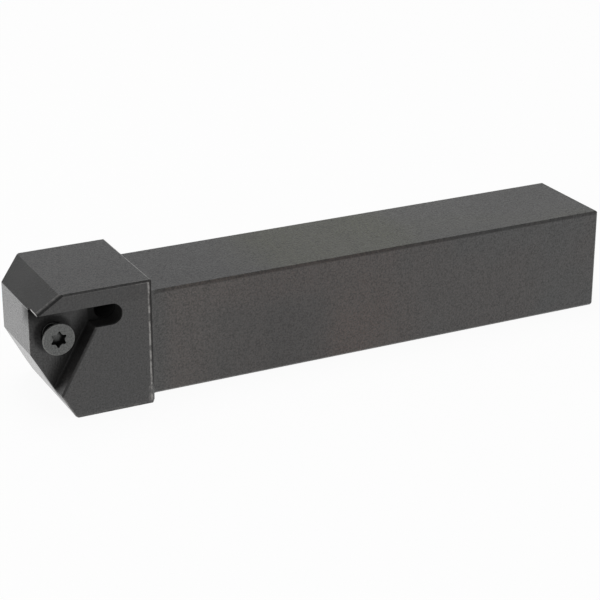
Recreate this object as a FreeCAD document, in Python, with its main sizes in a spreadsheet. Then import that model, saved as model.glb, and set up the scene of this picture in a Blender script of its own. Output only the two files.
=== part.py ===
import FreeCAD, Part
import math
import os
import Sketcher

# Turning tool holder: a square steel shank with a thicker, taller head at its left end. The head
# carries a pocket for a three-cornered insert that is clamped flat against the pocket's floor by one
# countersunk screw.
#
# Each piece is drawn in its own frame: X runs from the head's end towards the rear of the shank,
# Y from the shank's front face to its rear face, and Z up from the base. The placements then put the
# centre of the overall box, at the base, at the part's origin.

SIZES = {
    "shank_height": (19.05, "height of the square shank"),
    "shank_width": (19.05, "thickness of the square shank"),
    "body_length": (112.4, "from the head's end face to the rear of the shank"),
    "head_length": (20.65, "from the head's end face to the steps down to the shank"),
    "head_height": (22.4, "from the base to the top of the head"),
    "head_offset": (3.175, "how far the head stands out of the shank's front face"),
    "root_radius": (1.8, "radius that the milling cutter leaves at both steps"),
    "bevel_run": (4.4, "how far the sloping bevel reaches along the head's top"),
    "bevel_angle": (32.4, "slope of the bevel below the horizontal, in degrees"),
    "clearance_run": (6.41, "how far the base starts behind the end face"),
    "clearance_angle": (29.4, "slope of the clearance face from the vertical, in degrees"),
    "corner_cut": (5.2, "legs of the triangle cut off the head's rear corner, in plan"),
    "pocket_depth": (3.52, "from the head's front face to the pocket's floor"),
    "lip_height": (19.4, "from the base to the lip's flat underside"),
    "lip_setback": (0.41, "how far the lip's point stands behind the end face"),
    "lip_end_angle": (67.0, "slope of the lip's small end facet above the horizontal, in degrees"),
    "wall_angle": (60.0, "angle of the pocket's wall to the lip, as the insert's corner, in degrees"),
    "seat_distance": (4.9, "from the screw's axis to the lip and to the wall"),
    "wall_foot_radius": (0.3, "radius along the foot of the pocket's wall"),
    "wall_edge_break": (0.2, "chamfer along the wall's front edge"),
    "slot_height": (3.75, "height of the relief slot behind the pocket's corner"),
    "slot_reach": (15.2, "from the end face to the round end of the slot"),
    "relief_depth": (8.0, "from the head's front face to the bottom of the round relief at the slot's end"),
    "screw_position": (4.11, "from the end face to the screw's axis"),
    "shank_chamfer_depth": (0.25, "chamfer of the shank's upper front edge, on the top face"),
    "shank_chamfer_drop": (0.5, "chamfer of the shank's upper front edge, on the front face"),
    "bevel_edge_break": (0.5, "chamfer along the bevel's front edge"),
    "head_corner_break": (0.55, "chamfer along the head's upright edge at the step"),
    "head_edge_break": (0.25, "chamfer along the head's other edges"),
    "shank_edge_break": (0.4, "chamfer along the shank's other edges"),
    "hole_depth": (10.0, "depth of the tapped hole below the pocket's floor"),
    "hole_point_angle": (118.0, "angle of the drill's point, in degrees"),
    "mouth_radius": (2.1, "radius of the small countersink at the tapped hole's mouth"),
    "thread_clearance": (0.05, "radial clearance between the screw and its hole"),
    "screw_radius": (1.75, "outer radius of the screw's thread"),
    "screw_length": (11.0, "from the screw's head face to its tip"),
    "screw_stand": (3.05, "how far the head's face stands above the pocket's floor"),
    "screw_tip_chamfer": (0.4, "chamfer at the screw's tip"),
    "screw_head_radius": (2.8, "radius of the screw's head"),
    "screw_head_rim": (0.35, "height of the straight rim of the screw's head"),
    "screw_edge_break": (0.12, "chamfer around the face of the screw's head"),
    "screw_cone_angle": (60.0, "whole angle of the cone under the screw's head, in degrees"),
    "recess_depth": (1.4, "depth of the six-lobe recess"),
    "recess_lobe_reach": (1.41, "from the screw's axis to the tips of the recess's lobes"),
    "recess_waist": (1.02, "from the screw's axis to the flanks between the lobes"),
    "recess_lobe_radius": (0.24, "radius of the recess's lobes"),
    "recess_turn": (24.0, "how far the recess is turned about the screw's axis, in degrees"),
}
LOBES = 6
MARGIN = "2"
TOUCH = 1e-4

# Places that several features share, written once as expressions on the sheet's values.
FLOOR = "(sizes.pocket_depth - sizes.head_offset)"
SCREW_HEIGHT = "(sizes.lip_height - sizes.seat_distance)"
BEVEL_FOOT = "(sizes.head_height - sizes.bevel_run * tan(sizes.bevel_angle * 1 deg))"
CLEARANCE_TOP = "(sizes.clearance_run / tan(sizes.clearance_angle * 1 deg))"
SLOT_LOW = "(sizes.lip_height - sizes.slot_height)"
SLOT_CENTRE = "(sizes.slot_reach - sizes.slot_height / 2)"
SLOT_MIDDLE = "(sizes.lip_height - sizes.slot_height / 2)"
STEP_END = "(sizes.head_length + sizes.root_radius)"
MID_LENGTH = "(sizes.body_length / 2)"
MID_WIDTH = "((sizes.shank_width - sizes.head_offset) / 2)"


def wall_at(height):
    """Return the expression for X where the pocket's wall crosses a height."""
    rise = f"({height} - {SCREW_HEIGHT}) * cos(sizes.wall_angle * 1 deg)"
    return f"(sizes.screw_position + (sizes.seat_distance + {rise}) / sin(sizes.wall_angle * 1 deg))"


doc = FreeCAD.newDocument("turning_tool_holder")
sheet = doc.addObject("Spreadsheet::Sheet", "sizes")
for row, (name, (value, meaning)) in enumerate(SIZES.items(), start=1):
    sheet.set(f"A{row}", name)
    sheet.set(f"B{row}", str(value))
    sheet.set(f"C{row}", meaning)
    sheet.setAlias(f"B{row}", name)
doc.recompute()


def new_body(name):
    """Make a body whose label names its file."""
    body = doc.addObject("PartDesign::Body", name)
    body.Label = name
    return body


def new_sketch(body, name, role, offset="0"):
    """Make a sketch on one of the body's origin planes, moved along the plane's normal."""
    sketch = body.newObject("Sketcher::SketchObject", name)
    plane = next(item for item in body.Origin.OriginFeatures if item.Role == role)
    sketch.AttachmentSupport = [(plane, "")]
    sketch.MapMode = "FlatFace"
    sketch.setExpression("AttachmentOffset.Base.z", offset)
    doc.recompute()
    return sketch


def number(expression):
    """Work out an expression on the sheet's values."""
    result = sheet.evalExpression(expression)
    return float(getattr(result, "Value", result))


def pin_point(sketch, geometry, point, across, up):
    """Fix a sketch point at the place that two expressions give."""
    for kind, expression in (("DistanceX", across), ("DistanceY", up)):
        constraint = Sketcher.Constraint(kind, -1, 1, geometry, point, number(expression))
        index = sketch.addConstraint(constraint)
        sketch.setExpression(f"Constraints[{index}]", expression)


def closed_outline(sketch, corners):
    """Draw a closed outline through its corners.

    A corner is (across, up), reached by a line, or (across, up, centre across, centre up, turn),
    reached by an arc about that centre, anticlockwise where turn is 1 and clockwise where it is -1.
    """
    places = [FreeCAD.Vector(number(corner[0]), number(corner[1]), 0) for corner in corners]
    pieces = []
    for index, corner in enumerate(corners):
        start, end = places[index - 1], places[index]
        if len(corner) == 2:
            pieces.append((sketch.addGeometry(Part.LineSegment(start, end)), 1, 2))
            continue
        centre = FreeCAD.Vector(number(corner[2]), number(corner[3]), 0)
        circle = Part.Circle(centre, FreeCAD.Vector(0, 0, 1), (end - centre).Length)
        first, last = (start, end) if corner[4] > 0 else (end, start)
        angles = [math.atan2(place.y - centre.y, place.x - centre.x) for place in (first, last)]
        arc = sketch.addGeometry(Part.ArcOfCircle(circle, angles[0], angles[1]))
        pieces.append((arc, 1, 2) if corner[4] > 0 else (arc, 2, 1))
    for (before, _, before_end), (after, after_start, _) in zip(pieces, pieces[1:] + pieces[:1]):
        sketch.addConstraint(Sketcher.Constraint("Coincident", before, before_end, after, after_start))
    for (piece, _, piece_end), corner in zip(pieces, corners):
        pin_point(sketch, piece, piece_end, corner[0], corner[1])
        if len(corner) > 2:
            across = Sketcher.Constraint("DistanceX", -1, 1, piece, 3, number(corner[2]))
            sketch.setExpression(f"Constraints[{sketch.addConstraint(across)}]", corner[2])
    doc.recompute()


def add_pad(body, name, sketch, length):
    """Raise a sketch into a solid."""
    pad = body.newObject("PartDesign::Pad", name)
    pad.Profile = sketch
    pad.setExpression("Length", length)
    doc.recompute()
    return pad


def add_pocket(body, name, sketch, length=None, both_sides=False, reverse=False):
    """Cut a sketch out of the body, to a length or right through, and see that it cuts."""
    before = body.Shape.Volume
    pocket = body.newObject("PartDesign::Pocket", name)
    pocket.Profile = sketch
    pocket.Reversed = reverse
    if length is None:
        pocket.Type = "ThroughAll"
    else:
        pocket.setExpression("Length", length)
    if both_sides:
        pocket.SideType = "Symmetric"
    doc.recompute()
    if pocket.Shape.Volume >= before:
        raise ValueError(f"{name} cuts nothing")
    return pocket


def plane_through(point, direction):
    """Return a plane as its unit normal and distance, from a point and a direction across Y.

    Point and direction are (X, Z) pairs, and the plane is parallel to Y.
    """
    normal = FreeCAD.Vector(-direction[1], 0, direction[0]).normalize()
    return normal, normal.dot(FreeCAD.Vector(point[0], 0, point[1]))


def edges_between(feature, pairs):
    """Name the edges of a feature that lie in both planes of one of the pairs."""
    names = []
    for index, edge in enumerate(feature.Shape.Edges, start=1):
        middle = edge.valueAt((edge.FirstParameter + edge.LastParameter) / 2)
        places = [vertex.Point for vertex in edge.Vertexes] + [middle]
        for pair in pairs:
            misses = [abs(normal.dot(place) - along) for normal, along in pair for place in places]
            if max(misses) < TOUCH:
                names.append(f"Edge{index}")
                break
    return names


def add_dressing(body, kind, name, pairs, size):
    """Chamfer or fillet the edges where pairs of planes meet."""
    base = body.Tip
    names = edges_between(base, pairs)
    if len(names) < len(pairs):
        raise ValueError(f"{name} finds {len(names)} edges")
    dressing = body.newObject(f"PartDesign::{kind}", name)
    dressing.Base = (base, names)
    dressing.setExpression("Size" if kind == "Chamfer" else "Radius", size)
    doc.recompute()
    return dressing


def place_body(body, across, deep, up):
    """Put a body's own origin at a place in the part's frame."""
    body.setExpression("Placement.Base.x", across)
    body.setExpression("Placement.Base.y", deep)
    body.setExpression("Placement.Base.z", up)
    doc.recompute()


# Holder body: plan outline of head and shank, then the side cuts.
holder = new_body("holder_body")
plan = new_sketch(holder, "plan_outline", "XY_Plane")
closed_outline(plan, [
    ("0", "-sizes.head_offset"),
    ("sizes.head_length", "-sizes.head_offset"),
    ("sizes.head_length", "-sizes.root_radius"),
    (STEP_END, "0", STEP_END, "-sizes.root_radius", -1),
    ("sizes.body_length", "0"),
    ("sizes.body_length", "sizes.shank_width"),
    ("sizes.corner_cut", "sizes.shank_width"),
    ("0", "sizes.shank_width - sizes.corner_cut"),
])
add_pad(holder, "blank", plan, "sizes.head_height")

step = new_sketch(holder, "step_outline", "XZ_Plane")
step_top = f"sizes.head_height + {MARGIN}"
step_rear = f"sizes.body_length + {MARGIN}"
closed_outline(step, [
    (step_rear, step_top),
    ("sizes.head_length", step_top),
    ("sizes.head_length", "sizes.shank_height + sizes.root_radius"),
    (STEP_END, "sizes.shank_height", STEP_END, "sizes.shank_height + sizes.root_radius", 1),
    (step_rear, "sizes.shank_height"),
])
add_pocket(holder, "step_to_shank", step, both_sides=True)

bevel = new_sketch(holder, "bevel_outline", "XZ_Plane")
closed_outline(bevel, [
    ("0", BEVEL_FOOT),
    ("sizes.bevel_run", "sizes.head_height"),
    ("sizes.bevel_run", step_top),
    (f"-{MARGIN}", step_top),
    (f"-{MARGIN}", BEVEL_FOOT),
])
add_pocket(holder, "bevel", bevel, both_sides=True)

clearance = new_sketch(holder, "clearance_outline", "XZ_Plane")
closed_outline(clearance, [
    ("0", CLEARANCE_TOP),
    (f"-{MARGIN}", CLEARANCE_TOP),
    (f"-{MARGIN}", f"-{MARGIN}"),
    ("sizes.clearance_run", f"-{MARGIN}"),
    ("sizes.clearance_run", "0"),
])
add_pocket(holder, "clearance", clearance, both_sides=True)

# Insert pocket: the lip's underside, the slanted wall and the relief slot that frees their corner.
seat = new_sketch(holder, "seat_outline", "XZ_Plane", "sizes.head_offset")
facet_rise = "(sizes.head_height - sizes.lip_height)"
closed_outline(seat, [
    ("sizes.lip_setback", "sizes.lip_height"),
    (f"sizes.lip_setback - {facet_rise} / tan(sizes.lip_end_angle * 1 deg)", "sizes.head_height"),
    (f"-{MARGIN}", "sizes.head_height"),
    (f"-{MARGIN}", "0"),
    (wall_at("0"), "0"),
    (wall_at("sizes.lip_height"), "sizes.lip_height"),
])
add_pocket(holder, "insert_seat", seat, "sizes.pocket_depth")

slot = new_sketch(holder, "slot_outline", "XZ_Plane", "sizes.head_offset")
closed_outline(slot, [
    ("sizes.screw_position", "sizes.lip_height"),
    ("sizes.screw_position", SLOT_LOW),
    (SLOT_CENTRE, SLOT_LOW),
    (SLOT_CENTRE, "sizes.lip_height", SLOT_CENTRE, SLOT_MIDDLE, 1),
])
add_pocket(holder, "relief_slot", slot, "sizes.pocket_depth")

relief = new_sketch(holder, "relief_outline", "XZ_Plane", "sizes.head_offset")
closed_outline(relief, [
    (SLOT_CENTRE, SLOT_LOW, SLOT_CENTRE, SLOT_MIDDLE, 1),
    (SLOT_CENTRE, "sizes.lip_height", SLOT_CENTRE, SLOT_MIDDLE, 1),
])
add_pocket(holder, "corner_relief", relief, "sizes.relief_depth")

hole_place = new_sketch(holder, "hole_place", "XZ_Plane", f"-{FLOOR}")
hole_centre = FreeCAD.Vector(number("sizes.screw_position"), number(SCREW_HEIGHT), 0)
hole_circle = hole_place.addGeometry(
    Part.Circle(hole_centre, FreeCAD.Vector(0, 0, 1), number("sizes.screw_radius")))
pin_point(hole_place, hole_circle, 3, "sizes.screw_position", SCREW_HEIGHT)
hole_radius = Sketcher.Constraint("Radius", hole_circle, number("sizes.screw_radius"))
hole_place.setExpression(f"Constraints[{hole_place.addConstraint(hole_radius)}]", "sizes.screw_radius")
doc.recompute()
blank_volume = holder.Shape.Volume
hole = holder.newObject("PartDesign::Hole", "tapped_hole")
hole.Profile = hole_place
doc.recompute()
hole.ThreadType = "None"
hole.HoleCutType = "Countersink"
hole.HoleCutCustomValues = True
hole.HoleCutCountersinkAngle = 90
hole.DepthType = "Dimension"
hole.DrillPoint = "Angled"
hole.setExpression("Diameter", "2 * (sizes.screw_radius + sizes.thread_clearance)")
hole.setExpression("HoleCutDiameter", "2 * sizes.mouth_radius")
hole.setExpression("Depth", "sizes.hole_depth")
hole.setExpression("DrillPointAngle", "sizes.hole_point_angle")
doc.recompute()
if hole.Shape.Volume >= blank_volume:
    raise ValueError("tapped_hole cuts nothing")

# Edges: the shank's broken edges come first, then the larger chamfer along its upper front edge,
# which runs up to the step's radius.
length, height = number("sizes.body_length"), number("sizes.shank_height")
head_length, head_height = number("sizes.head_length"), number("sizes.head_height")
wall_angle = math.radians(number("sizes.wall_angle"))
base = (FreeCAD.Vector(0, 0, 1), 0)
shank_top = (FreeCAD.Vector(0, 0, 1), height)
head_top = (FreeCAD.Vector(0, 0, 1), head_height)
shank_front = (FreeCAD.Vector(0, 1, 0), 0)
head_front = (FreeCAD.Vector(0, 1, 0), -number("sizes.head_offset"))
pocket_floor = (FreeCAD.Vector(0, 1, 0), number(FLOOR))
rear = (FreeCAD.Vector(0, 1, 0), number("sizes.shank_width"))
shank_end = (FreeCAD.Vector(1, 0, 0), length)
head_side = (FreeCAD.Vector(1, 0, 0), head_length)
bevel_face = plane_through((number("sizes.bevel_run"), head_height),
                           (number("sizes.bevel_run"), head_height - number(BEVEL_FOOT)))
clearance_face = plane_through((number("sizes.clearance_run"), 0),
                               (-number("sizes.clearance_run"), number(CLEARANCE_TOP)))
wall_face = plane_through((number(wall_at("0")), 0), (math.cos(wall_angle), math.sin(wall_angle)))

add_dressing(holder, "Chamfer", "shank_edges",
             [(shank_end, base), (shank_end, shank_top), (shank_end, rear), (shank_end, shank_front),
              (rear, shank_top), (rear, head_top), (rear, base), (shank_front, base)],
             "sizes.shank_edge_break")

long_chamfer = new_sketch(holder, "long_chamfer_outline", "YZ_Plane", STEP_END)
closed_outline(long_chamfer, [
    ("0", "sizes.shank_height - sizes.shank_chamfer_drop"),
    ("sizes.shank_chamfer_depth", "sizes.shank_height"),
    ("sizes.shank_chamfer_depth", f"sizes.shank_height + {MARGIN}"),
    (f"-{MARGIN}", f"sizes.shank_height + {MARGIN}"),
    (f"-{MARGIN}", "sizes.shank_height - sizes.shank_chamfer_drop"),
])
add_pocket(holder, "long_chamfer", long_chamfer, reverse=True)

add_dressing(holder, "Fillet", "wall_foot", [(pocket_floor, wall_face)], "sizes.wall_foot_radius")
add_dressing(holder, "Chamfer", "wall_edge", [(head_front, wall_face)], "sizes.wall_edge_break")
add_dressing(holder, "Chamfer", "bevel_edge", [(head_front, bevel_face)], "sizes.bevel_edge_break")
add_dressing(holder, "Chamfer", "head_corner", [(head_front, head_side)], "sizes.head_corner_break")
add_dressing(holder, "Chamfer", "head_edges",
             [(head_front, head_top), (head_side, head_top),
              (head_front, clearance_face), (base, clearance_face)],
             "sizes.head_edge_break")
place_body(holder, f"-{MID_LENGTH}", f"-{MID_WIDTH}", "0")

# Insert screw, drawn with its head's face at Y = 0 and its tip towards +Y.
screw = new_body("insert_screw")
half_cone = "tan(sizes.screw_cone_angle / 2 * 1 deg)"
cone_end = f"(sizes.screw_head_rim + (sizes.screw_head_radius - sizes.screw_radius) / {half_cone})"
profile = new_sketch(screw, "turned_profile", "XY_Plane")
closed_outline(profile, [
    ("0", "0"),
    ("sizes.screw_head_radius - sizes.screw_edge_break", "0"),
    ("sizes.screw_head_radius", "sizes.screw_edge_break"),
    ("sizes.screw_head_radius", "sizes.screw_head_rim"),
    ("sizes.screw_radius", cone_end),
    ("sizes.screw_radius", "sizes.screw_length - sizes.screw_tip_chamfer"),
    ("sizes.screw_radius - sizes.screw_tip_chamfer", "sizes.screw_length"),
    ("0", "sizes.screw_length"),
])
turned = screw.newObject("PartDesign::Revolution", "turned_blank")
turned.Profile = profile
turned.ReferenceAxis = (profile, ["V_Axis"])
turned.Angle = 360
doc.recompute()

# One sixth of the recess: half a flank, a lobe and half a flank, closed at the screw's axis.
lobe = new_sketch(screw, "lobe_outline", "XZ_Plane")
lobe.setExpression("AttachmentOffset.Rotation.Angle", "sizes.recess_turn * 1 deg")
lobe_centre = "(sizes.recess_lobe_reach - sizes.recess_lobe_radius)"
half_turn = f"(180 / {LOBES} * 1 deg)"
flank_top = (f"(sizes.recess_lobe_radius ^ 2 - {lobe_centre} ^ 2 - sizes.recess_waist ^ 2"
             f" + 2 * {lobe_centre} * sizes.recess_waist * cos{half_turn})")
flank_base = f"(2 * (sizes.recess_waist - {lobe_centre} * cos{half_turn} - sizes.recess_lobe_radius))"
flank_radius = f"({flank_top} / {flank_base})"
flank_reach = f"(sizes.recess_waist + {flank_radius})"
flank_across = f"{flank_reach} * cos{half_turn}"
flank_up = f"{flank_reach} * sin{half_turn}"
share = f"(sizes.recess_lobe_radius / (sizes.recess_lobe_radius + {flank_radius}))"
meet_across = f"({lobe_centre} + {share} * ({flank_across} - {lobe_centre}))"
meet_up = f"{share} * {flank_up}"
waist_across = f"sizes.recess_waist * cos{half_turn}"
waist_up = f"sizes.recess_waist * sin{half_turn}"
closed_outline(lobe, [
    ("0", "0"),
    (waist_across, f"-{waist_up}"),
    (meet_across, f"-{meet_up}", flank_across, f"-{flank_up}", -1),
    (meet_across, meet_up, lobe_centre, "0", 1),
    (waist_across, waist_up, flank_across, flank_up, -1),
])
recess = add_pocket(screw, "recess_sixth", lobe, "sizes.recess_depth")
recess_turns = screw.newObject("PartDesign::PolarPattern", "recess")
recess_turns.Originals = [recess]
recess_turns.Axis = (profile, ["V_Axis"])
recess_turns.Angle = 360
recess_turns.Occurrences = LOBES
screw.Tip = recess_turns
doc.recompute()
place_body(screw, f"sizes.screw_position - {MID_LENGTH}",
           f"{FLOOR} - sizes.screw_stand - {MID_WIDTH}", SCREW_HEIGHT)

for item in doc.Objects:
    if any(word in item.State for word in ("Invalid", "Error")):
        raise ValueError(f"{item.Name} has failed")

os.makedirs("parts", exist_ok=True)
for body in (holder, screw):
    if body.Shape.isNull() or not body.Shape.isValid():
        raise ValueError(f"{body.Label} has no valid shape")
    body.Shape.exportStep(os.path.join("parts", f"{body.Label}.step"))
    box = body.Shape.BoundBox
    print(body.Label, "volume", round(body.Shape.Volume, 2), "solids", len(body.Shape.Solids),
          "box", [round(edge, 3) for edge in (box.XMin, box.YMin, box.ZMin, box.XMax, box.YMax, box.ZMax)])
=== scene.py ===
"""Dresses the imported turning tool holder: its black-oxide steel, the clamping screw and the studio."""

import logging
import math
from dataclasses import dataclass, field
from enum import Enum
from functools import cached_property
from typing import Any, Optional, Sequence, Union

import bpy
import numpy as np
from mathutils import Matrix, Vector

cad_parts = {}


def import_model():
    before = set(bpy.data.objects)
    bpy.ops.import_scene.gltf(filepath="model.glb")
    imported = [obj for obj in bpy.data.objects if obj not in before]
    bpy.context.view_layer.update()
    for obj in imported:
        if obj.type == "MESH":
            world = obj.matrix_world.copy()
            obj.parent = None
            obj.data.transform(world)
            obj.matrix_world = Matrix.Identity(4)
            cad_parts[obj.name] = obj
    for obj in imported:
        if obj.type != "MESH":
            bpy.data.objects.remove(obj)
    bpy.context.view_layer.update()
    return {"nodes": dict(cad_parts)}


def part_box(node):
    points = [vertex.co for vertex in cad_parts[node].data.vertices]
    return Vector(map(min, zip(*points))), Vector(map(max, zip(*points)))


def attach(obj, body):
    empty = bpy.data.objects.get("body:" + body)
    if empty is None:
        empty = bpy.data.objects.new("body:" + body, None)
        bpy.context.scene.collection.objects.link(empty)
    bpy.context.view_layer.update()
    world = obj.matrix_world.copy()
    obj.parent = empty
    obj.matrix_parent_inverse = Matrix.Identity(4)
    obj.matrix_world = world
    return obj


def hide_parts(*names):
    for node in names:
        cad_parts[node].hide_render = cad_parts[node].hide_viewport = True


LOG = logging.getLogger("tool_holder")
MM = 0.001
STEEL_IOR = 1.5
SOFT_END = 0.00005
ALONG = (1.0, 0.0, 0.0)
DEEP = (0.0, 1.0, 0.0)
UP = (0.0, 0.0, 1.0)
Triple = tuple[float, float, float]
Span = tuple[Triple, float, float]
Rows = list[tuple[np.ndarray, np.ndarray]]


def grey(level: float) -> Triple:
    """Return a neutral colour."""
    return (level, level, level)


@dataclass(frozen=True)
class Ease:
    """A smooth step from start, at and below low, to end, at and above high."""

    low: float
    high: float
    start: float = 0.0
    end: float = 1.0


@dataclass(frozen=True)
class Pattern:
    """A noise pattern.

    Attributes:
        scale: how many features it has in a metre.
        detail: how many finer layers lie over the first one.
        roughness: how strong the finer layers are.
        stretch: a factor for each axis, below 1 where the features are longer.
    """

    scale: float
    detail: float = 2.0
    roughness: float = 0.5
    stretch: Optional[Triple] = None


class Wire:
    """A shader socket that takes part in Python arithmetic, adding Math nodes as it goes."""

    def __init__(self, bench: "Bench", socket: bpy.types.NodeSocket) -> None:
        """Keep the bench that owns the node tree and the output socket."""
        self.bench = bench
        self.socket = socket

    def _math(self, operation: str, *values: Any) -> "Wire":
        """Return the result of one Math node with these wires or numbers as its inputs."""
        return self.bench.node("ShaderNodeMath", {"operation": operation}, dict(enumerate(values)))

    def __add__(self, other: Any) -> "Wire":
        """Return the sum."""
        return self._math("ADD", self, other)

    __radd__ = __add__

    def __sub__(self, other: Any) -> "Wire":
        """Return this wire less the other."""
        return self._math("SUBTRACT", self, other)

    def __rsub__(self, other: Any) -> "Wire":
        """Return the other less this wire."""
        return self._math("SUBTRACT", other, self)

    def __mul__(self, other: Any) -> "Wire":
        """Return the product."""
        return self._math("MULTIPLY", self, other)

    __rmul__ = __mul__

    def __abs__(self) -> "Wire":
        """Return the size without its sign."""
        return self._math("ABSOLUTE", self)

    def at_least(self, other: Any) -> "Wire":
        """Return the larger of the two."""
        return self._math("MAXIMUM", self, other)

    def eased(self, ease: Ease) -> "Wire":
        """Return this wire's place on a smooth step."""
        inputs = {"Value": self, "From Min": ease.low, "From Max": ease.high,
                  "To Min": ease.start, "To Max": ease.end}
        return self.bench.node("ShaderNodeMapRange", {"interpolation_type": "SMOOTHSTEP"}, inputs, "Result")

    def mix(self, first: Any, second: Any) -> "Wire":
        """Return the first colour where this wire is 0 and the second where it is 1."""
        return self.bench.node("ShaderNodeMix", {"data_type": "RGBA"}, {0: self, 6: first, 7: second}, 2)

    def vector(self, operation: str, *values: Any, output: str = "Vector") -> "Wire":
        """Return the result of one Vector Math node whose first input is this wire."""
        inputs = dict(enumerate((self, *values)))
        return self.bench.node("ShaderNodeVectorMath", {"operation": operation}, inputs, output)

    def stretched(self, factors: Triple) -> "Wire":
        """Return this vector, or colour, times a factor for each axis or channel."""
        return self.vector("MULTIPLY", factors)

    def centred(self, point: Triple) -> "Wire":
        """Return this place as it is measured from a point."""
        return self.vector("SUBTRACT", point)

    def off_axis(self) -> "Wire":
        """Return how far this centred place lies from the axis along Y through its point."""
        return self.stretched((1.0, 0.0, 1.0)).vector("LENGTH", output="Value")

    def along(self, direction: Triple) -> "Wire":
        """Return how far this vector reaches along a direction."""
        return self.vector("DOT_PRODUCT", direction, output="Value")

    def between(self, span: Span) -> "Wire":
        """Return 1 between a span's ends along its direction and 0 outside them, with soft ends."""
        direction, low, high = span
        middle, half = (low + high) / 2, (high - low) / 2
        return abs(self.along(direction) - middle).eased(Ease(half, half + SOFT_END, 1.0, 0.0))

    def noise(self, pattern: Pattern) -> "Wire":
        """Return a pattern's noise at this place, which lies about 0.5."""
        place = self.stretched(pattern.stretch) if pattern.stretch else self
        inputs = {"Vector": place, "Scale": pattern.scale, "Detail": pattern.detail,
                  "Roughness": pattern.roughness}
        return self.bench.node("ShaderNodeTexNoise", {"noise_dimensions": "3D"}, inputs)


class Bench:
    """The node tree that a finish is put together on."""

    def __init__(self, tree: bpy.types.NodeTree) -> None:
        """Clear the tree and keep it."""
        self.tree = tree
        tree.nodes.clear()

    @classmethod
    def for_material(cls, name: str) -> tuple[bpy.types.Material, "Bench"]:
        """Return a new material and the bench for its nodes."""
        material = bpy.data.materials.new(name)
        material.use_nodes = True
        return material, cls(material.node_tree)

    def node(self, kind: str, settings: Optional[dict[str, Any]] = None,
             inputs: Optional[dict[Union[int, str], Any]] = None, output: Union[int, str] = 0) -> Wire:
        """Add a node, set it up and join its inputs.

        Args:
            kind: the node's type.
            settings: properties that are set first.
            inputs: socket names or numbers, each with a wire, a number or a colour.
            output: the name or number of the socket to return.

        Returns:
            The chosen output.
        """
        made = self.tree.nodes.new(kind)
        for name, value in (settings or {}).items():
            setattr(made, name, value)
        for name, value in (inputs or {}).items():
            socket = made.inputs[name]
            if isinstance(value, Wire):
                self.tree.links.new(value.socket, socket)
            else:
                socket.default_value = (*value, 1.0) if socket.type == "RGBA" else value
        return Wire(self, made.outputs[output])

    def place(self) -> Wire:
        """Return the Object coordinates."""
        return self.node("ShaderNodeTexCoord", output="Object")

    def facing(self) -> Wire:
        """Return the surface's own normal."""
        return self.node("ShaderNodeNewGeometry", output="True Normal")

    def backdrop_ray(self) -> Wire:
        """Return 1 for a ray from the camera or one that metal or glass has turned, and 0 for any other."""
        names = ("Is Camera Ray", "Is Glossy Ray", "Is Transmission Ray")
        camera, mirror, glass = (self.node("ShaderNodeLightPath", output=name) for name in names)
        return camera.at_least(mirror).at_least(glass)

    def bump(self, height: Wire, distance: float, strength: float) -> Wire:
        """Return the normal of a relief from 0 to 1 that stands a distance high, in metres."""
        inputs = {"Height": height, "Distance": distance, "Strength": strength}
        return self.node("ShaderNodeBump", inputs=inputs, output="Normal")

    def covered(self, share: Wire, shader: Wire, colour: Triple) -> Wire:
        """Return a shader with a wholly matt colour over a share of it."""
        matt_cover = self.node("ShaderNodeBsdfDiffuse", inputs={"Color": colour, "Roughness": 1.0})
        return self.node("ShaderNodeMixShader", inputs={0: share, 1: shader, 2: matt_cover})

    def finish(self, shader: Wire, kind: str = "ShaderNodeOutputMaterial") -> None:
        """Join a surface shader to the tree's output, a material's or a world's."""
        self.tree.links.new(shader.socket, self.tree.nodes.new(kind).inputs["Surface"])


@dataclass(frozen=True)
class Plane:
    """A plane as its unit normal and its distance from the origin, in metres."""

    normal: Triple
    reach: float

    @staticmethod
    def through(point: Triple, normal: Triple) -> "Plane":
        """Return the plane through a point, square to a normal of any length."""
        unit = np.array(normal) / np.linalg.norm(normal)
        return Plane(tuple(unit.tolist()), float(unit @ np.array(point)))

    def distance(self, place: Wire) -> Wire:
        """Return the distance of a place from the plane, without its sign."""
        return abs(place.along(self.normal) - self.reach)


class Wear(Enum):
    """How the finish differs in a band along an edge or on a face."""

    # Worn steel, and painted highlights drawn the same way along the head's edges.
    WORN_AND_HIGHLIGHT = "rubbed down to the steel in a broken line"
    # Painted highlights: near-white lines along edges.
    PAINTED_HIGHLIGHT = "rubbed bright all along"
    # Painted shade along edges and faces, where dark reflections and shadow fall.
    PAINTED_SHADE = "darker than the faces beside it"
    GROUND = "ground smoother, with more oil on it"


@dataclass(frozen=True)
class EdgeBand:
    """A band along an edge or over a face, where the finish differs.

    Attributes:
        planes: the planes that the band follows: the two that meet in the edge, or the edge's chamfer.
        width: how far the band reaches from the planes, in metres.
        strength: how strong it is, from 0 to 1.
        spans: directions, each with the place along it where the band starts and where it ends, in metres.
        inner: nearer than this the band is empty, which leaves a chamfer's two borders.
        core: the share of the width over which the band keeps its strength.
        inner_core: the share of the inner width over which it stays quite empty.
    """

    planes: tuple[Plane, ...]
    width: float
    strength: float
    spans: tuple[Span, ...] = ()
    inner: float = 0.0
    core: float = 0.45
    inner_core: float = 0.6

    def mask(self, place: Wire) -> Wire:
        """Return the band's strength along the edge and 0 past its width.

        The largest of the distances from the planes is eased to 0 at the width, and the result is kept
        between the two ends of each span.
        """
        reach = self.planes[0].distance(place)
        for plane in self.planes[1:]:
            reach = reach.at_least(plane.distance(place))
        band = reach.eased(Ease(self.width * self.core, self.width, self.strength, 0.0))
        if self.inner:
            band = band * reach.eased(Ease(self.inner * self.inner_core, self.inner))
        for span in self.spans:
            band = band * place.between(span)
        return band

    @staticmethod
    def strongest(bands: Sequence["EdgeBand"], place: Wire) -> Wire:
        """Return the strongest of several bands at each place."""
        mask = bands[0].mask(place)
        for band in bands[1:]:
            mask = mask.at_least(band.mask(place))
        return mask


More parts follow.
